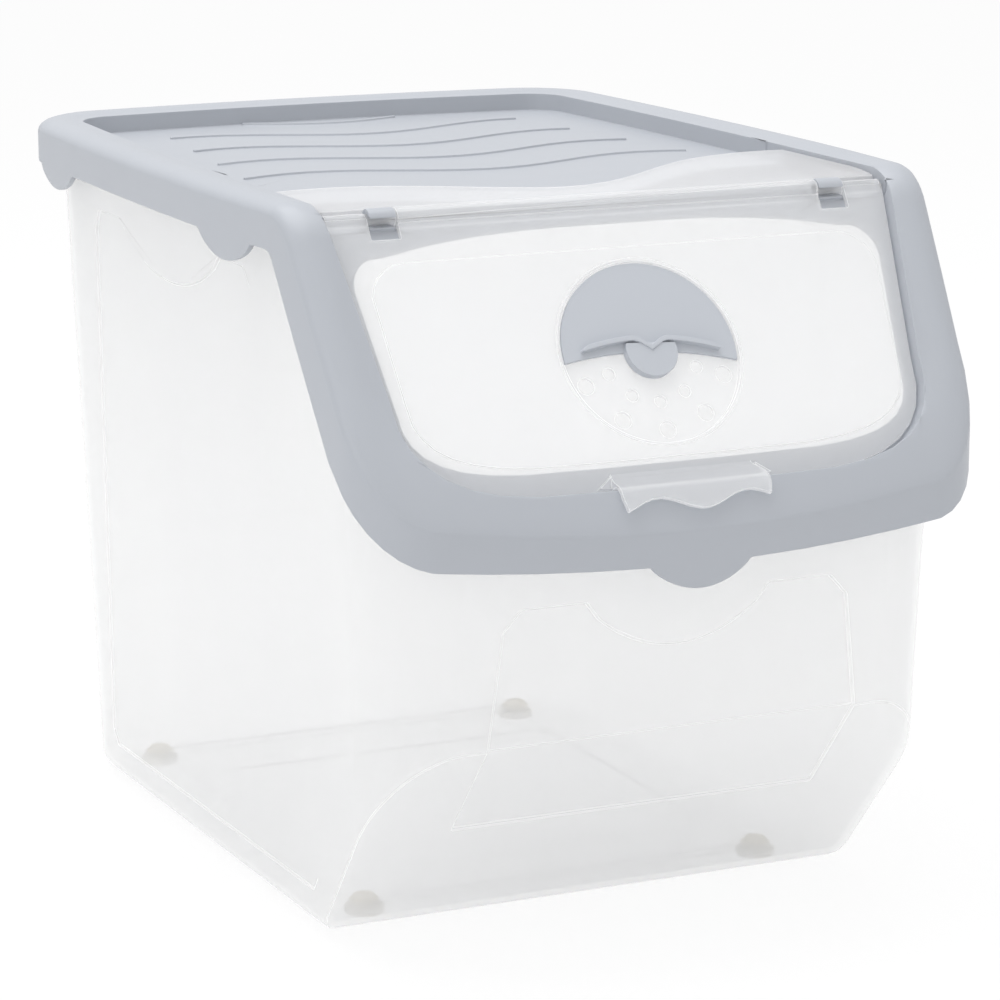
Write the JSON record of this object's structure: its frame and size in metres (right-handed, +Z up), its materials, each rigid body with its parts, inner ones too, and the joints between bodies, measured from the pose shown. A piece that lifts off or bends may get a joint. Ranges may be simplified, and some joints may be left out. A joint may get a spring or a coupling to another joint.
{
  "type": "rice bin with flip lid",
  "caption": "Free-standing rice bin: translucent tub, lift-off cover with a sloping mouth, a hinged flip lid and a turning vent shutter.",
  "frame": {"origin": "on the floor, under the middle of the cover", "axes": "+Z up; -Y towards the front, where the flap and its lip are; +X to the viewer's right, along the hinge; Y is the longest way"},
  "size_m": [0.2824, 0.3976, 0.2925],
  "materials": {
    "clear_plastic": "translucent milky, smooth moulded",
    "grey_plastic": "pale blue-grey, fine satin",
    "foot_rubber": "ivory, matte"
  },
  "bodies": {
    "base": {"tub": "clear_plastic", "foot_fl": "foot_rubber", "foot_fr": "foot_rubber", "foot_rl": "foot_rubber", "foot_rr": "foot_rubber"},
    "cover": {"cover_frame": "grey_plastic", "hinge_plate": "clear_plastic"},
    "flap": {"flap": "clear_plastic"},
    "shutter": {"vent_shutter": "grey_plastic"}
  },
  "joints": [
    {"name": "cover_lift", "type": "slide", "parent": "base", "child": "cover", "axis": [0, 0, 1], "range_m": [0, 0.18]},
    {"name": "flap_hinge", "type": "hinge", "parent": "cover", "child": "flap", "pos_m": [0, -0.119, 0.28443], "axis": [-1, 0, 0], "range_deg": [0, 165]},
    {"name": "shutter_turn", "type": "hinge", "parent": "flap", "child": "shutter", "pos_m": [0, -0.15511, 0.23273], "axis": [0, -0.8453, 0.5344], "continuous": true}
  ]
}
